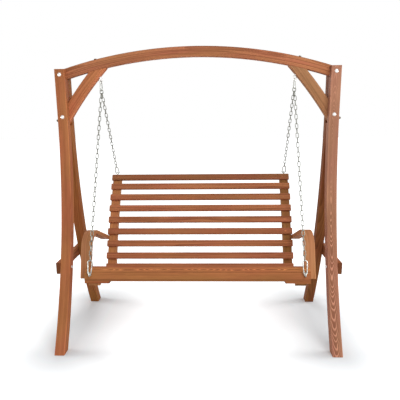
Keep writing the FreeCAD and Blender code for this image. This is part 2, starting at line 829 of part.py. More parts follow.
def hook_gate(length):
    low, high, upward = hook_points(length)
    hinge = hook_hinge(length)
    tip = low + upward * (gate_nose + gate_tip_gap)
    gate = rod(tip, hinge, gate_wire).fuse(Part.makeSphere(gate_wire / 2, hinge)).removeSplitter()
    across = V(upward.z, 0, -upward.x) * gate_wire
    half_slot = V(0, tongue_thickness / 2 + fork_clearance, 0)
    floor = hinge - upward * (gate_wire / 2 + fork_clearance)
    top = hinge + upward * gate_wire
    slot = polygon_prism([floor - across - half_slot, floor + across - half_slot,
                          top + across - half_slot, top - across - half_slot], half_slot * 2)
    half_bore = V(0, gate_wire, 0)
    return gate.cut([slot, rod(hinge - half_bore, hinge + half_bore, rivet + 2 * rivet_clearance)])


def save_hook(name, length, place):
    hinge = place.multVec(hook_hinge(length))
    axis = place.Rotation.multVec(y_axis)
    print(name, "gate hinge", hinge, "axis", axis)
    for side_name, side in sides.items():
        for part_name, shape in (("_hook_", hook_body(length)), ("_gate_", hook_gate(length))):
            shape.Placement = place
            save(name + part_name + side_name, on_side(shape, side))


# Chains

def link(inner_length, inner_width, wire):
    """Oval link about the origin in the XZ plane, long way along Z."""
    bend = (inner_width + wire) / 2
    straight = (inner_length + wire) / 2 - bend
    section = Part.Face(Part.Wire(Part.makeCircle(wire / 2, V(bend, 0, -straight), z_axis)))
    leg_right = section.extrude(V(0, 0, 2 * straight))
    upper = section.translated(V(0, 0, 2 * straight)).revolve(V(0, 0, straight), y_axis, -180)
    half = leg_right.fuse(upper)
    turned_half = half.copy()
    turned_half.rotate(V(), y_axis, 180)
    return half.fuse(turned_half).removeSplitter()


def chain(start, end):
    """Links from the first link's upper wire to the last one's lower wire, the first edge-on to X."""
    along = unit(end - start)
    run = (end - start).Length - link_wire
    count = 2 * round((run / link_inner_length - 1) / 2) + 1
    pitch = run / count
    one = link(pitch + link_play, link_inner_width, link_wire)
    solids = []
    for step in range(count):
        centre = start + along * (link_wire / 2 + pitch * (step + 0.5))
        normal = x_axis if step % 2 == 0 else along.cross(x_axis)
        solids.append(placed(one, centre, along, normal))
    return solids


swing_axis = beam_eye_centre - V(0, 0, eye_radius)
print("swing axis through", swing_axis)
top_hook_top = swing_axis + V(0, 0, (eye_wire + hook_wire) / 2 + swing_gap)
top_hook_low = top_hook_top - V(0, 0, narrow_radius + hook_spread(top_hook_length))
turn = math.radians(top_hook_turn)
save_hook("top", top_hook_length, placing(top_hook_low, z_axis, V(math.cos(turn), math.sin(turn), 0)))

joining_top = top_hook_low - V(0, 0, wide_radius - (hook_wire + joining_wire) / 2 - joint_gap)
joining_centre = joining_top - V(0, 0, (joining_inner_length + joining_wire) / 2)
joining_foot = joining_centre * 2 - joining_top
joining_bend = (joining_inner_width + joining_wire) / 2
joining_link = placed(link(joining_inner_length, joining_inner_width, joining_wire),
                      joining_centre, z_axis, y_axis)
save_group("joining_links", [on_side(joining_link, side) for side in sides.values()])

link_seat = (hook_wire + link_wire) / 2 + joint_gap
for name, length, eye_local, shift in (("front", front_hook_length, front_eye_local(), 1),
                                       ("rear", rear_hook_length, rear_eye_local(), -1)):
    eye_centre = bench_place.multVec(eye_local)
    offset = shift * chain_spread / 2
    bow_rise = joining_bend - math.sqrt(joining_bend ** 2 - offset ** 2)
    held_at = joining_foot + V(offset, 0, bow_rise)
    along = unit(eye_centre - held_at)
    in_plane = unit(V(0, along.y, along.z))
    hook_low_wire = (eye_centre - in_plane * eye_radius
                     + along * ((eye_wire + hook_wire) / 2 + joint_gap))
    if name == "front":
        wide_centre = hook_low_wire - along * (narrow_radius + hook_spread(length))
        place = placing(wide_centre, along, x_axis.cross(along))
        chain_end = wide_centre - along * (wide_radius - link_seat)
    else:
        wide_centre = hook_low_wire - along * wide_radius
        place = placing(wide_centre, -along, along.cross(x_axis))
        chain_end = wide_centre - along * (hook_spread(length) + narrow_radius - link_seat)
    save_hook(name, length, place)
    chain_start = held_at - along * ((joining_wire + link_wire) / 2 + joint_gap)
    solids = chain(chain_start, chain_end)
    print(name, "chain links", len(solids), "pitch", (chain_end - chain_start).Length / len(solids))
    for side_name, side in sides.items():
        save_group(name + "_chain_" + side_name, [on_side(solid, side) for solid in solids])
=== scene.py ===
import math
import bpy
from mathutils import Matrix, Vector


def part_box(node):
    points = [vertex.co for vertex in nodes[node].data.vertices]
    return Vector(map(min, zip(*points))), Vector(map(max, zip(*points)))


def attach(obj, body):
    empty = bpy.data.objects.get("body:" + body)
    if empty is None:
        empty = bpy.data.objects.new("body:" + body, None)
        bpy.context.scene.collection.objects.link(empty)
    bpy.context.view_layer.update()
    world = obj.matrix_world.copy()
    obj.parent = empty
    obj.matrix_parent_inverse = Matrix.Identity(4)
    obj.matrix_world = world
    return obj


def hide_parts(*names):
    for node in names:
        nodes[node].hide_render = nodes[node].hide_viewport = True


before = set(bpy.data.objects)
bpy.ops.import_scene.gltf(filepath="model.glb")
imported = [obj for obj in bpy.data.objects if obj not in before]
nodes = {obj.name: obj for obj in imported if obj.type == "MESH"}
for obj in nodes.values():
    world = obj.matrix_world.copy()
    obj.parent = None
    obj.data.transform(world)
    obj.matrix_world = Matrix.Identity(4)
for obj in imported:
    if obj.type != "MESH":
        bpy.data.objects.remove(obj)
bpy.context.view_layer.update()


# Legs
# Four bowed timbers, two in front and two behind, each glued up from three layers of larch bent round
# a former, planed, eased at the arrises and stained red-brown. Bolts clamp the beam between their tops.

def put(tree, kind, sockets=None, **settings):
    """Adds a shader node, sets or links its sockets, and gives back its outputs."""
    made = tree.nodes.new("ShaderNode" + kind)
    for name, value in settings.items():
        setattr(made, name, value)
    for key, value in (sockets or {}).items():
        if isinstance(value, bpy.types.NodeSocket):
            tree.links.new(value, made.inputs[key])
        else:
            made.inputs[key].default_value = value
    return made.outputs


def reckon(tree, operation, *values):
    """One sum on numbers."""
    return put(tree, "Math", dict(enumerate(values)), operation=operation)[0]


def spread(tree, value, low, high, to_low, to_high):
    """A number brought from one range to another and held inside it."""
    return put(tree, "MapRange", {"Value": value, "From Min": low, "From Max": high,
                                  "To Min": to_low, "To Max": to_high})[0]


def mixed(tree, share, first, second):
    """Two colours mixed by a share."""
    return put(tree, "Mix", {0: share, 6: first, 7: second}, data_type="RGBA")[2]


def stretched_noise(tree, lengths, scales, detail):
    """Noise over three distances, each at its own scale, as outputs for value and colour."""
    scaled = [reckon(tree, "MULTIPLY", length, scale) for length, scale in zip(lengths, scales)]
    place = put(tree, "CombineXYZ", dict(enumerate(scaled)))[0]
    return put(tree, "TexNoise", {"Vector": place, "Scale": 1.0, "Detail": detail})


def tint(red, green, blue):
    """A colour written as it looks on a screen, from 0 to 255."""
    channels = [value / 255 for value in (red, green, blue)]
    return [value / 12.92 if value <= 0.04045 else ((value + 0.055) / 1.055) ** 2.4
            for value in channels] + [1.0]


def local_places(tree, centre, turn):
    """Place and normal in a piece's own frame, as separate X, Y and Z outputs."""
    given = put(tree, "TexCoord")
    euler = turn.to_euler()
    place = put(tree, "Mapping", {"Vector": given["Object"], "Location": centre, "Rotation": euler},
                vector_type="TEXTURE")[0]
    normal = put(tree, "Mapping", {"Vector": given["Normal"], "Rotation": euler},
                 vector_type="TEXTURE")[0]
    return put(tree, "SeparateXYZ", {0: place}), put(tree, "SeparateXYZ", {0: normal})


def bent_grain(tree, centre, turn, radius, straight_beyond):
    """Distances along, across and through a timber bent round a centre, and how far it faces along.

    In the turned frame Y points away from the centre and minus Z round the bend. A bend that goes
    straight on beyond its quarter keeps the grain parallel to its faces there.
    """
    place, normal = local_places(tree, centre, turn)
    outward = place["Y"]
    onward = reckon(tree, "MULTIPLY", place["Z"], -1.0)
    past = 0.0
    if straight_beyond:
        past_out = reckon(tree, "MINIMUM", outward, 0.0)
        past = reckon(tree, "SUBTRACT", reckon(tree, "MINIMUM", onward, 0.0), past_out)
        outward = reckon(tree, "MAXIMUM", outward, 0.0)
        onward = reckon(tree, "MAXIMUM", onward, 0.0)
    flat = put(tree, "CombineXYZ", {0: outward, 1: onward})[0]
    reach = put(tree, "VectorMath", {0: flat}, operation="LENGTH")["Value"]
    angle = reckon(tree, "ARCTAN2", onward, outward)
    along = reckon(tree, "MULTIPLY_ADD", angle, radius, past)
    through = reckon(tree, "SUBTRACT", reach, radius)
    turning = reckon(tree, "MULTIPLY", normal["Y"], reckon(tree, "SINE", angle))
    facing = reckon(tree, "MULTIPLY_ADD", normal["Z"], reckon(tree, "COSINE", angle), turning)
    return along, place["X"], through, facing


def larch(name, grain, half_section, pale, dark, pith, swing=0.01, ring_gap=0.0045, figure=0.5,
          seed=0.0, layer=None, shine=0.64, stain_and_painted_light=None, slope=0.0, early=(0.30, 0.86), climb_rate=1.1,
          stray=(1.6, 0.014), glue_half=0.0012):
    """Planed and stained larch: rings round a wandering pith, fibres, worn arrises and end grain.

    grain gives the timber's own distances. figure is how boldly the rings show and
    stain_and_painted_light how bright the colour is, a real stain on some pieces and painted light and
    shade on others, both the same all over or a function of the place. stray is how fast and how far the
    pith wanders, early where in a year's ring the pale wood ends and the dark wood starts.
    """
    next_board = 2.3
    next_layer = 3.7
    glue_shade = 0.75
    stray_scale = 9.0
    fibre_scales = (16.0, 800.0, 800.0)
    streak_scales = (1.3, 70.0, 70.0)
    patch_scales = (2.2, 9.0, 9.0)
    cloud_scales = (3.1, 14.0, 14.0)
    end_grain_share = 0.45
    worn_share = 0.35
    satin = 0.04

    material = bpy.data.materials.new(name)
    material.use_nodes = True
    tree = material.node_tree
    along, across, through, facing = grain(tree)
    half_across, half_through = half_section
    if callable(figure):
        figure = figure(tree, across, through)
    run = reckon(tree, "ADD", along, seed * next_board)
    glue = 0.0
    if layer:
        layers = spread(tree, through, -half_through, half_through, 0.02, 2 * half_through / layer - 0.02)
        run = reckon(tree, "MULTIPLY_ADD", reckon(tree, "FLOOR", layers), next_layer, run)
        in_layer = reckon(tree, "SUBTRACT", reckon(tree, "FRACT", layers), 0.5)
        off_middle = reckon(tree, "ABSOLUTE", in_layer)
        glue_share = glue_half / layer
        glue = spread(tree, off_middle, 0.5 - glue_share, 0.5 - glue_share / 3, 0.0, glue_shade)
        inside = reckon(tree, "LESS_THAN", reckon(tree, "ABSOLUTE", through), half_through - layer / 2)
        glue = reckon(tree, "MULTIPLY", glue, inside)
    stray_rate, stray_reach = stray
    lengths = (run, across, through)
    wander = stretched_noise(tree, lengths, (stray_rate, stray_scale, stray_scale), 2.5)["Color"]
    drift = put(tree, "SeparateXYZ", {0: wander})
    climb = stretched_noise(tree, (run, seed, 0.0), (climb_rate, 1.0, 1.0), 0.0)[0]
    side = reckon(tree, "SUBTRACT", across, pith[0] + stray_reach / 2)
    side = reckon(tree, "MULTIPLY_ADD", drift["X"], stray_reach, side)
    depth = reckon(tree, "SUBTRACT", through, pith[1] + stray_reach / 2)
    depth = reckon(tree, "MULTIPLY_ADD", drift["Y"], stray_reach, depth)
    depth = reckon(tree, "MULTIPLY_ADD", reckon(tree, "SUBTRACT", climb, 0.5), 4.0 * swing, depth)
    depth = reckon(tree, "MULTIPLY_ADD", along, slope, depth)
    section = put(tree, "CombineXYZ", {0: side, 1: depth})[0]
    from_pith = put(tree, "VectorMath", {0: section}, operation="LENGTH")["Value"]
    year = reckon(tree, "FRACT", reckon(tree, "DIVIDE", from_pith, ring_gap))
    summer = put(tree, "ValToRGB", {0: year})
    ramp = summer[0].node.color_ramp
    ramp.elements[0].position = early[0]
    ramp.elements[1].position = early[1]
    ramp.elements.new(0.96).color = (1, 1, 1, 1)
    ramp.elements.new(1.0).color = (0, 0, 0, 1)
    fibre = stretched_noise(tree, lengths, fibre_scales, 2.0)[0]
    streak = stretched_noise(tree, lengths, streak_scales, 2.0)[0]
    patch = stretched_noise(tree, lengths, patch_scales, 2.0)[0]

    shade = reckon(tree, "MULTIPLY_ADD", reckon(tree, "SUBTRACT", summer[0], 0.3), figure, 0.25)
    shade = reckon(tree, "MULTIPLY_ADD", reckon(tree, "SUBTRACT", fibre, 0.5), 0.7, shade)
    shade = reckon(tree, "MULTIPLY_ADD", reckon(tree, "SUBTRACT", streak, 0.5), 0.9, shade)
    shade = reckon(tree, "MAXIMUM", shade, glue)
    colour = mixed(tree, spread(tree, shade, 0.0, 1.0, 0.0, 1.0), pale, dark)
    end_grain = spread(tree, reckon(tree, "ABSOLUTE", facing), 0.55, 0.75, 0.0, end_grain_share)
    colour = mixed(tree, end_grain, colour, [0.35 * value for value in dark[:3]] + [1.0])
    from_side = reckon(tree, "SUBTRACT", half_across, reckon(tree, "ABSOLUTE", across))
    from_face = reckon(tree, "SUBTRACT", half_through, reckon(tree, "ABSOLUTE", through))
    arris = spread(tree, reckon(tree, "MAXIMUM", from_side, from_face), 0.001, 0.0045, 1.0, 0.0)
    worn = reckon(tree, "MULTIPLY", arris, spread(tree, patch, 0.4, 0.65, 0.0, worn_share))
    colour = mixed(tree, worn, colour, [min(1.0, 1.5 * value) for value in pale[:3]] + [1.0])
    cloud = stretched_noise(tree, lengths, cloud_scales, 1.0)[0]
    colour = put(tree, "HueSaturation", {"Value": spread(tree, patch, 0.3, 0.7, 0.90, 1.12),
                                         "Hue": spread(tree, cloud, 0.3, 0.7, 0.493, 0.506),
                                         "Color": colour})[0]
    # Brightness by place: a real stain on the flame leg, painted light and shade on the front rail.
    if stain_and_painted_light:
        colour = put(tree, "HueSaturation", {"Value": stain_and_painted_light(tree, across, through), "Color": colour})[0]

    ridge = reckon(tree, "MULTIPLY", reckon(tree, "MULTIPLY", summer[0], figure), 0.6)
    height = reckon(tree, "MULTIPLY_ADD", fibre, 0.7, ridge)
    bump = put(tree, "Bump", {"Strength": 0.35, "Distance": 0.0006, "Height": height})[0]
    rough = spread(tree, reckon(tree, "MULTIPLY_ADD", summer[0], -0.3, fibre), 0.2, 0.75,
                   shine - 0.06, shine + 0.14)
    shader = tree.nodes["Principled BSDF"]
    tree.links.new(colour, shader.inputs["Base Color"])
    tree.links.new(rough, shader.inputs["Roughness"])
    tree.links.new(bump, shader.inputs["Normal"])
    shader.inputs["Specular IOR Level"].default_value = satin
    return material


def dress(node, material):
    """Gives a CAD node its finish."""
    slots = nodes[node].data.materials
    slots.clear()
    slots.append(material)


leg_width = 0.060
leg_thickness = 0.068
leg_bend_radius = 2.740
leg_bend_height = 1.418
leg_layer = leg_thickness / 3
leg_top_half_depth = 0.069
leg_middle = 0.820
flame_low = 0.66
flame_high = 1.00


def flame_height(tree):
    """Height above the floor, for the one leg whose flame grain fades out upwards."""
    return put(tree, "SeparateXYZ", {0: put(tree, "TexCoord")["Object"]})["Z"]


def flame_figure(tree, across, through):
    """Bold flame grain low down on the leg, calm grain above the bench."""
    return spread(tree, flame_height(tree), flame_low, flame_high, 0.95, 0.42)


def flame_stain(tree, across, through):
    """The calm grain above the bench is stained a little darker."""
    return spread(tree, flame_height(tree), flame_low, flame_high, 1.0, 0.82)


leg_finishes = {
    "front_leg_left": {"pale": tint(194, 121, 80), "dark": tint(134, 76, 44), "figure": 0.32,
                       "pith": (0.075, -0.10), "swing": 0.014, "seed": 1.0},
    "front_leg_right": {"pale": tint(219, 156, 126), "dark": tint(154, 101, 77), "figure": flame_figure,
                        "pith": (-0.006, -0.012), "swing": 0.008, "seed": 2.0,
                        "ring_gap": 0.0026, "slope": 0.062, "early": (0.10, 0.42),
                        "stain_and_painted_light": flame_stain, "stray": (7.0, 0.012)},
    # The rear legs' colours are darker than the front legs' partly as painted shade: they stand further
    # from the front lamps, the right one in its front leg's shadow.
    "rear_leg_left": {"pale": tint(170, 109, 61), "dark": tint(111, 60, 31), "figure": 0.40,
                      "pith": (-0.05, -0.06), "swing": 0.015, "seed": 3.0},
    "rear_leg_right": {"pale": tint(144, 88, 52), "dark": tint(93, 53, 30), "figure": 0.40,
                       "pith": (0.03, -0.09), "swing": 0.02, "seed": 4.0},
}
for name, finish in leg_finishes.items():
    end = -1 if name.startswith("front") else 1
    side = -1 if name.endswith("left") else 1
    centre = Vector((side * leg_middle, end * (leg_top_half_depth + leg_bend_radius), leg_bend_height))
    turn = Matrix.Rotation(math.pi if end > 0 else 0.0, 3, "Z")
    middle_radius = leg_bend_radius + leg_thickness / 2

    def leg_grain(tree):
        return bent_grain(tree, centre, turn, middle_radius, True)

    dress(name, larch(name, leg_grain, (leg_width / 2, leg_thickness / 2), layer=leg_layer, **finish))


# Arched beam
# One glued-up timber of three bent layers, whose glue lines show along its face. It rests between
# the tops of the legs, with a bolt through each end, and the eye bolts hang under it.

beam_radius = 2.760
beam_height = 0.060
beam_depth = 0.046
beam_top = 1.782
beam_centre = Vector((0.0, 0.0, beam_top - beam_radius))
beam_turn = Matrix(((0.0, 0.0, -1.0), (-1.0, 0.0, 0.0), (0.0, 1.0, 0.0)))


def beam_grain(tree):
    return bent_grain(tree, beam_centre, beam_turn, beam_radius - beam_height / 2, False)


dress("arch_beam", larch("arch_beam", beam_grain, (beam_depth / 2, beam_height / 2),
                         tint(194, 124, 87), tint(127, 73, 47), pith=(0.09, 0.02), swing=0.012,
                         figure=0.48, seed=5.0, layer=beam_height / 3, glue_half=0.0020))


# Knee braces
# A slightly bowed larch timber in each top corner, its foot clamped between the legs by a bolt and its
# head cut to the curve of the beam.

brace_radius = 2.180
brace_width = 0.066
brace_bow_x = 1.0092
brace_bow_z = 0.1820
brace_lean = math.radians(56.8)
brace_out_x = math.sin(brace_lean)
brace_out_z = math.cos(brace_lean)
for side, name, pale, dark in ((-1, "knee_brace_left", tint(212, 131, 90), tint(148, 84, 51)),
                               (1, "knee_brace_right", tint(183, 130, 92), tint(127, 83, 53))):
    brace_centre = Vector((-side * brace_bow_x, 0.0, brace_bow_z))
    brace_turn = Matrix(((0.0, side * brace_out_x, -brace_out_z), (-1.0, 0.0, 0.0),
                         (0.0, brace_out_z, side * brace_out_x)))

    def brace_grain(tree):
        return bent_grain(tree, brace_centre, brace_turn, brace_radius, False)

    dress(name, larch(name, brace_grain, (beam_depth / 2, brace_width / 2), pale, dark,
                      pith=(0.11, 0.03), swing=0.012, figure=0.4, seed=6.0 + side / 2))


# Side rails
# A flat larch board bolted across the outer sides of each pair of legs, keeping their feet apart.

def straight_grain(tree, centre, turn):
    """Distances along X, across Y and through Z of a straight timber, and how far it faces along."""
    place, normal = local_places(tree, centre, turn)
    return place["X"], place["Y"], place["Z"], normal["X"]


for side, name in ((-1, "side_rail_left"), (1, "side_rail_right")):
    low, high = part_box(name)
    rail_middle = (low + high) / 2
    rail_turn = Matrix.Rotation(math.pi / 2, 3, "Z")
    rail_size = high - low

    def rail_grain(tree):
        return straight_grain(tree, rail_middle, rail_turn)

    dress(name, larch(name, rail_grain, (rail_size.x / 2, rail_size.z / 2),
                      tint(164, 102, 67), tint(106, 61, 39), pith=(-0.06, 0.02), swing=0.016,
                      figure=0.5, seed=8.0 + side / 2))


# Bolts and nuts of the stand
# Round-headed steel bolts through leg and beam or brace and through rail and leg, with flanged nuts,
# all bright zinc plated.

def zinc(name, bright, dull, rough, cloud=60.0):
    """Zinc plate on steel: cloudy grey metal, duller in patches, with a fine grain."""
    material = bpy.data.materials.new(name)
    material.use_nodes = True
    tree = material.node_tree
    place = put(tree, "TexCoord")["Object"]
    clouds = put(tree, "TexNoise", {"Vector": place, "Scale": cloud, "Detail": 3.0})[0]
    grain = put(tree, "TexNoise", {"Vector": place, "Scale": 1400.0, "Detail": 2.0})[0]
    colour = mixed(tree, spread(tree, clouds, 0.35, 0.7, 0.0, 1.0), bright, dull)
    roughness = spread(tree, reckon(tree, "MULTIPLY_ADD", grain, 0.5, clouds), 0.4, 1.1,
                       rough - 0.08, rough + 0.12)
    bump = put(tree, "Bump", {"Strength": 0.2, "Distance": 0.0002, "Height": grain})[0]
    shader = tree.nodes["Principled BSDF"]
    tree.links.new(colour, shader.inputs["Base Color"])
    tree.links.new(roughness, shader.inputs["Roughness"])
    tree.links.new(bump, shader.inputs["Normal"])
    shader.inputs["Metallic"].default_value = 1.0
    return material


bolt_finish = zinc("bright_zinc", tint(238, 237, 234), tint(206, 205, 203), 0.40)
for name in ("leg_bolts", "leg_nuts", "rail_bolts", "rail_nuts"):
    dress(name, bolt_finish)


# Cap nuts on the sides
# A screw end stands out of the outer side of each front leg beside the brace bolt, closed by a domed
# cap nut turned in one with its washer; plated steel gone dull and dark.

low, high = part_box("side_screws")
cap_seat = 0.850
cap_depth = (low.y + high.y) / 2
cap_height = (low.z + high.z) / 2
washer_radius = 0.0090
washer_thickness = 0.0016
cap_radius = 0.0074
cap_collar = 0.0060
cap_dome = 0.0074
cap_sides = 32
cap_edge = 0.0004
dome_rings = 6
dome_arc = 0.95 * math.pi / 2
bpy.ops.object.select_all(action="DESELECT")
bpy.ops.mesh.primitive_cylinder_add(vertices=cap_sides, radius=washer_radius, depth=washer_thickness)
left_cap = bpy.context.object
bpy.context.tool_settings.mesh_select_mode = (False, False, True)
bpy.ops.object.mode_set(mode="EDIT")
bpy.ops.mesh.select_all(action="DESELECT")
bpy.ops.object.mode_set(mode="OBJECT")
for polygon in left_cap.data.polygons:
    polygon.select = polygon.normal.z > 0.9
bpy.ops.object.mode_set(mode="EDIT")
bpy.ops.mesh.inset(thickness=washer_radius - cap_radius)
bpy.ops.mesh.extrude_region_move(TRANSFORM_OT_translate={"value": (0.0, 0.0, cap_collar)})
for ring in range(dome_rings):
    turns = [dome_arc * step / dome_rings for step in (ring, ring + 1)]
    rise = cap_dome * (math.sin(turns[1]) - math.sin(turns[0]))
    shrink = math.cos(turns[1]) / math.cos(turns[0])
    bpy.ops.mesh.extrude_region_move(TRANSFORM_OT_translate={"value": (0.0, 0.0, rise)})
    bpy.ops.transform.resize(value=(shrink, shrink, 1.0))
bpy.ops.object.mode_set(mode="OBJECT")
edge = left_cap.modifiers.new("edge", "BEVEL")
edge.width = cap_edge
edge.segments = 2
edge.limit_method = "ANGLE"
bpy.ops.object.modifier_apply(modifier=edge.name)
bpy.ops.object.shade_smooth_by_angle(angle=math.radians(40))
bpy.ops.object.duplicate()
right_cap = bpy.context.object
for side, cap_nut in ((-1, left_cap), (1, right_cap)):
    cap_nut.rotation_euler = (0.0, side * math.pi / 2, 0.0)
    cap_nut.location = (side * (cap_seat + washer_thickness / 2), cap_depth, cap_height)
left_cap.select_set(True)
bpy.context.view_layer.objects.active = left_cap
bpy.ops.object.transform_apply(location=True, rotation=True, scale=True)
bpy.ops.object.join()
side_caps = bpy.context.object
side_caps.name = "side_cap_nuts"
side_caps.data.materials.append(zinc("dull_zinc", tint(118, 106, 92), tint(84, 72, 60), 0.44))
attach(side_caps, "stand")
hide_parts("side_screws")


# Eye bolts
# A forged eye under each end of the beam, its shank through brace and beam to a nut on top.

dress("beam_eye_bolts", bolt_finish)
dress("beam_eye_nuts", zinc("tarnished_zinc", tint(112, 94, 80), tint(78, 62, 52), 0.46))


# Snap hooks
# Bent wire hooks with a sprung gate that turns on a rivet: one in each eye bolt and one at the lower
# end of each chain.

hook_finish = zinc("hook_zinc", tint(204, 205, 200), tint(146, 148, 142), 0.26, 120.0)
for place in ("top", "front", "rear"):
    for side in ("left", "right"):
        dress(place + "_hook_" + side, hook_finish)
        dress(place + "_gate_" + side, hook_finish)


# Chains
# Welded oval links of zinc plated wire, two chains from the joining link under each top hook, one to
# the front of the bench and one to the top of its back.

chain_finish = zinc("chain_zinc", tint(152, 153, 145), tint(100, 102, 94), 0.34, 90.0)
dress("joining_links", chain_finish)
for end in ("front", "rear"):
    for side in ("left", "right"):
        dress(end + "_chain_" + side, chain_finish)


# Screw eyes
# Wire eyes screwed into the face of the front rail and into the tops of the back stiles.

for name in ("front_screw_eyes", "rear_screw_eyes"):
    dress(name, hook_finish)


# Slats
# Straight larch laths with eased arrises, nine across the back and five across the seat, each held
# by a countersunk screw at either end.

slat_width = 0.043
slat_thickness = 0.022
back_slats = 9
back_pitch = 0.0855
back_radius = 2.565
bench_corner = Vector((0.0, 0.048, 0.377))
bench_lean = math.radians(20.0)
bench_turn = Matrix.Rotation(-bench_lean, 3, "X")
back_lean = math.radians(3.1)
seat_slats = 5
# Painted shade: the top back slat's colours are scaled down by this much.
top_slat_painted_shade = 0.90
tone_step = 0.618
slat_names = ["back_slat_%d" % number for number in range(1, back_slats + 1)]
slat_names += ["seat_slat_%d" % number for number in range(1, seat_slats + 1)]
for count, name in enumerate(slat_names):
    low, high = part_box(name)
    slat_middle = (low + high) / 2
    if name.startswith("seat"):
        slat_tilt = math.pi / 2 - bench_lean
    else:
        slat_tilt = -bench_lean - back_lean - (back_slats - 1 - count) * back_pitch / back_radius
    slat_turn = Matrix.Rotation(slat_tilt, 3, "X")
    change = (count * tone_step) % 1.0
    # Painted shade: the top back slat is drawn darker, standing for the lesser light that reaches it.
    slat_painted_shade = top_slat_painted_shade if count == 0 else 1.0
    pale = [slat_painted_shade * level for level in (187 + 10 * change, 120 + 6 * change, 82 + 5 * change)]
    dark = [slat_painted_shade * level for level in (124 + 8 * change, 71 + 5 * change, 45 + 4 * change)]

    def slat_grain(tree):
        return straight_grain(tree, slat_middle, slat_turn)

    dress(name, larch(name, slat_grain, (slat_thickness / 2, slat_width / 2), tint(*pale), tint(*dark),
                      pith=(0.03 + 0.08 * change, 0.05 - 0.1 * change), swing=0.008, figure=0.45,
                      seed=10.0 + count))


# Front rail
# The wide timber along the front of the seat, its upper front corner planed off to a bevel that
# shows flame grain, screwed to the seat rails.

front_rail_depth = 0.0485
front_rail_height = 0.082
front_rail_back = 0.405
front_rail_drop = 0.009
bevel_height = 0.028
lower_edge = 0.013
front_rail_middle = bench_corner + bench_turn @ Vector((0.0, -front_rail_back - front_rail_depth / 2,
                                                        -front_rail_drop - front_rail_height / 2))
front_rail_break = front_rail_height / 2 - bevel_height
front_rail_under = lower_edge - front_rail_height / 2


def front_rail_grain(tree):
    return straight_grain(tree, front_rail_middle, bench_turn)


def bevel_figure(tree, across, height):
    """Flame grain on the bevel, next to none on the upright face."""
    return spread(tree, height, front_rail_break - 0.002, front_rail_break + 0.001, 0.15, 1.05)


def rail_painted_light_and_bands(tree, across, height):
    """Painted light on the upward-facing bevel, drawn paler as if lit more from above; the colour also
    darker in a line along the break and on the lower edge.
    """
    # Painted light: the bevel above the break is drawn brighter.
    upper = spread(tree, height, front_rail_break - 0.001, front_rail_break + 0.001, 0.86, 1.27)
    lower = spread(tree, height, front_rail_under - 0.002, front_rail_under + 0.001, 0.78, 1.0)
    from_break = reckon(tree, "ABSOLUTE", reckon(tree, "SUBTRACT", height, front_rail_break))
    line = spread(tree, from_break, 0.0012, 0.0040, 0.62, 1.0)
    return reckon(tree, "MULTIPLY", reckon(tree, "MULTIPLY", upper, lower), line)


dress("front_rail", larch("front_rail", front_rail_grain, (front_rail_depth / 2, front_rail_height / 2),
                          tint(201, 129, 79), tint(142, 88, 54), pith=(0.011, 0.004), swing=0.008,
                          ring_gap=0.0021, figure=bevel_figure, seed=30.0, stain_and_painted_light=rail_painted_light_and_bands,
                          climb_rate=4.5, early=(0.18, 0.60), stray=(3.0, 0.013)))


# Corner plates
# A short board under each end of the front rail, chamfered at its inner end and screwed up from below.

plate_half_thickness = 0.006
for side, name in ((-1, "corner_plate_left"), (1, "corner_plate_right")):
    low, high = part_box(name)
    plate_middle = (low + high) / 2

    def plate_grain(tree):
        return straight_grain(tree, plate_middle, bench_turn)

    dress(name, larch(name, plate_grain, (front_rail_depth / 2, plate_half_thickness),
                      tint(180, 112, 68), tint(124, 70, 39), pith=(0.1, 0.02), figure=0.4,
                      seed=32.0 + side / 2))


# Seat rails and back stiles
# The two side frames of the bench: a rail dished under the seat slats and a stile curved behind the
# back slats, sawn from plank so that the grain runs straight through the curve.

frame_half_section = (0.028, 0.06)
stile_lean = math.radians(14.0)
rail_along = Matrix.Rotation(math.pi / 2, 3, "Z")
stile_along = Matrix.Rotation(-math.pi / 2, 3, "Y")
for side in ("left", "right"):
    for name, lean, plank_along in (("seat_rail_" + side, 0.0, rail_along),
                                    ("back_stile_" + side, stile_lean, stile_along)):
        low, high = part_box(name)
        frame_middle = (low + high) / 2
        frame_turn = Matrix.Rotation(-bench_lean - lean, 3, "X") @ plank_along

        def frame_grain(tree):
            return straight_grain(tree, frame_middle, frame_turn)

        # Painted light and shade: the left frame is drawn lighter and the right one darker, standing for
        # light from the right falling on the left frame's inner side.
        pale, dark = ((tint(208, 143, 93), tint(141, 86, 50)) if side == "left" else
                      (tint(167, 115, 69), tint(107, 66, 37)))
        dress(name, larch(name, frame_grain, frame_half_section, pale, dark, pith=(0.05, 0.14),
                          swing=0.005, figure=0.28, seed=36.0 + len(name) + (side == "left")))


# Arms
# Planks of four thin layers bent and glued round a former: level beside the seat, then curved down to
# a foot behind the front rail, held by long screws from inside the frame.

arm_bend_radius = 0.130
arm_thickness = 0.024
arm_width = 0.064
arm_middle = 0.662
arm_height = 0.2292
arm_bend = Vector((0.0, arm_bend_radius - front_rail_back, arm_height - arm_bend_radius))
for side, name in ((-1, "arm_left"), (1, "arm_right")):
    arm_centre = bench_corner + bench_turn @ arm_bend + Vector((side * arm_middle, 0.0, 0.0))
    arm_turn = bench_turn @ Matrix.Rotation(math.pi, 3, "X")

    def arm_grain(tree):
        return bent_grain(tree, arm_centre, arm_turn, arm_bend_radius - arm_thickness / 2, True)

    dress(name, larch(name, arm_grain, (arm_width / 2, arm_thickness / 2), tint(197, 137, 94),
                      tint(145, 91, 57), pith=(0.03, -0.12), swing=0.012, figure=0.3,
                      seed=40.0 + side / 2, layer=arm_thickness / 4))


# Screws of the bench
# Countersunk wood screws in the slats and plates and long screws in the arms, in brown plated steel.

screw_finish = zinc("screw_brown", tint(186, 118, 80), tint(146, 88, 58), 0.52, 200.0)
for name in ("wood_screws", "arm_screws"):
    dress(name, screw_finish)
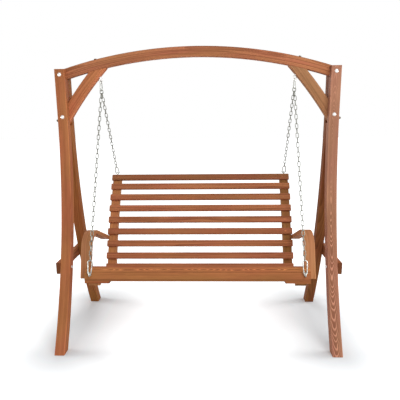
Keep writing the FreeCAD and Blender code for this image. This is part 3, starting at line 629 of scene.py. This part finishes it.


# Floor and backdrop
# A plain white studio floor that runs out to a white background and keeps the soft shadows. Near the legs
# its white is lifted less, which paints a soft shade round the feet over the real shadows; it is seen
# whiter away from the legs, and the light of the room comes more from the front and the right.

floor_size = 60.0
floor_drop = 0.0005
feet_reach = 0.40
shadow_reach = 0.46
white_reach = 3.0
bpy.ops.object.select_all(action="DESELECT")
bpy.ops.mesh.primitive_plane_add(size=floor_size, location=(0.0, 0.0, -floor_drop))
floor = bpy.context.object
floor.name = "floor"
floor_finish = bpy.data.materials.new("floor_white")
floor_finish.use_nodes = True
floor_tree = floor_finish.node_tree
floor_shader = floor_tree.nodes["Principled BSDF"]
floor_shader.inputs["Base Color"].default_value = (0.765, 0.80, 0.822, 1.0)
floor_shader.inputs["Roughness"].default_value = 0.9
floor_shader.inputs["Specular IOR Level"].default_value = 0.0


def sees_white(tree):
    """One for rays from the camera, from metal and through glass, nought for those that light things."""
    ray = put(tree, "LightPath")
    seen = reckon(tree, "MAXIMUM", ray["Is Camera Ray"], ray["Is Glossy Ray"])
    return reckon(tree, "MAXIMUM", seen, ray["Is Transmission Ray"])


floor_place = put(floor_tree, "TexCoord")["Object"]
floor_axes = put(floor_tree, "SeparateXYZ", {0: floor_place})
sideways = reckon(floor_tree, "SUBTRACT", reckon(floor_tree, "ABSOLUTE", floor_axes["X"]), leg_middle)
lengthways = reckon(floor_tree, "SUBTRACT", reckon(floor_tree, "ABSOLUTE", floor_axes["Y"]), feet_reach)
lengthways = reckon(floor_tree, "MAXIMUM", lengthways, 0.0)
beside = put(floor_tree, "CombineXYZ", {0: sideways, 1: lengthways})[0]
from_legs = put(floor_tree, "VectorMath", {0: beside}, operation="LENGTH")["Value"]
# Painted shade: the lift seen by the camera is least close to the legs, so the floor is drawn greyer
# there whether or not a shadow falls.
near_lift = spread(floor_tree, from_legs, 0.05, shadow_reach, 0.05, 0.66)
far_lift = spread(floor_tree, from_legs, shadow_reach, white_reach, 0.0, 0.34)
whole_lift = reckon(floor_tree, "ADD", near_lift, far_lift)
lift = reckon(floor_tree, "MULTIPLY", sees_white(floor_tree), whole_lift)
floor_shader.inputs["Emission Color"].default_value = (1.0, 1.0, 1.0, 1.0)
floor_tree.links.new(lift, floor_shader.inputs["Emission Strength"])
floor.data.materials.append(floor_finish)

front_strength = 0.45
back_strength = 0.20
right_strength = 0.08
world = bpy.data.worlds.new("studio")
bpy.context.scene.world = world
world.use_nodes = True
sky = world.node_tree
sky.nodes.clear()
towards = put(sky, "SeparateXYZ", {0: put(sky, "TexCoord")["Generated"]})
front_light = spread(sky, towards["Y"], -1.0, 1.0, front_strength, back_strength)
dome_strength = reckon(sky, "MULTIPLY_ADD", towards["X"], right_strength, front_light)
dome = put(sky, "Background", {"Color": (1.0, 1.0, 1.0, 1.0), "Strength": dome_strength})[0]
white = put(sky, "Background", {"Color": (1.0, 1.0, 1.0, 1.0), "Strength": 1.0})[0]
shown = put(sky, "MixShader", {0: sees_white(sky), 1: dome, 2: white})[0]
put(sky, "OutputWorld", {"Surface": shown})


# Lamps
# A large softbox high in front, to the right, a small low one on either side and one high behind.

lamp_target = Vector((0.0, 0.0, 0.75))
for name, place, power, size in (("front_softbox", (1.2, -2.8, 3.0), 74.0, 2.4),
                                 ("right_softbox", (2.6, 0.3, 0.9), 26.0, 0.9),
                                 ("left_softbox", (-2.6, 0.3, 0.9), 26.0, 0.9),
                                 ("rear_softbox", (-0.9, 3.0, 2.2), 36.0, 2.0)):
    lamp = bpy.data.lights.new(name, "AREA")
    lamp.energy = power
    lamp.size = size
    lamp_object = bpy.data.objects.new(name, lamp)
    lamp_object.location = place
    lamp_object.rotation_euler = (lamp_target - Vector(place)).to_track_quat("-Z", "Y").to_euler()
    bpy.context.scene.collection.objects.link(lamp_object)


# Camera
# It stands in front of the bench, a little to the right and lower than a grown-up's eyes, and looks
# slightly down.

camera_height = 1.361
camera_distance = 2.9647
camera_turn = 0.0342
camera_tilt = 0.2312
camera_roll = -0.0104
focal_pixels = 467.13
image_width = 400
principal = (198.638, 228.669)
camera = bpy.data.cameras.new("camera")
camera.sensor_width = 36.0
camera.lens = camera.sensor_width * focal_pixels / image_width
camera.shift_x = 0.5 - principal[0] / image_width
camera.shift_y = principal[1] / image_width - 0.5
camera_object = bpy.data.objects.new("camera", camera)
aim = (Matrix.Rotation(camera_turn, 4, "Z") @ Matrix.Rotation(math.pi / 2 - camera_tilt, 4, "X")
       @ Matrix.Rotation(camera_roll, 4, "Z"))
stand_point = Vector((camera_distance * math.sin(camera_turn),
                      -camera_distance * math.cos(camera_turn), camera_height))
camera_object.matrix_world = Matrix.Translation(stand_point) @ aim
bpy.context.scene.collection.objects.link(camera_object)
bpy.context.scene.camera = camera_object
bpy.context.scene.view_settings.view_transform = "Standard"
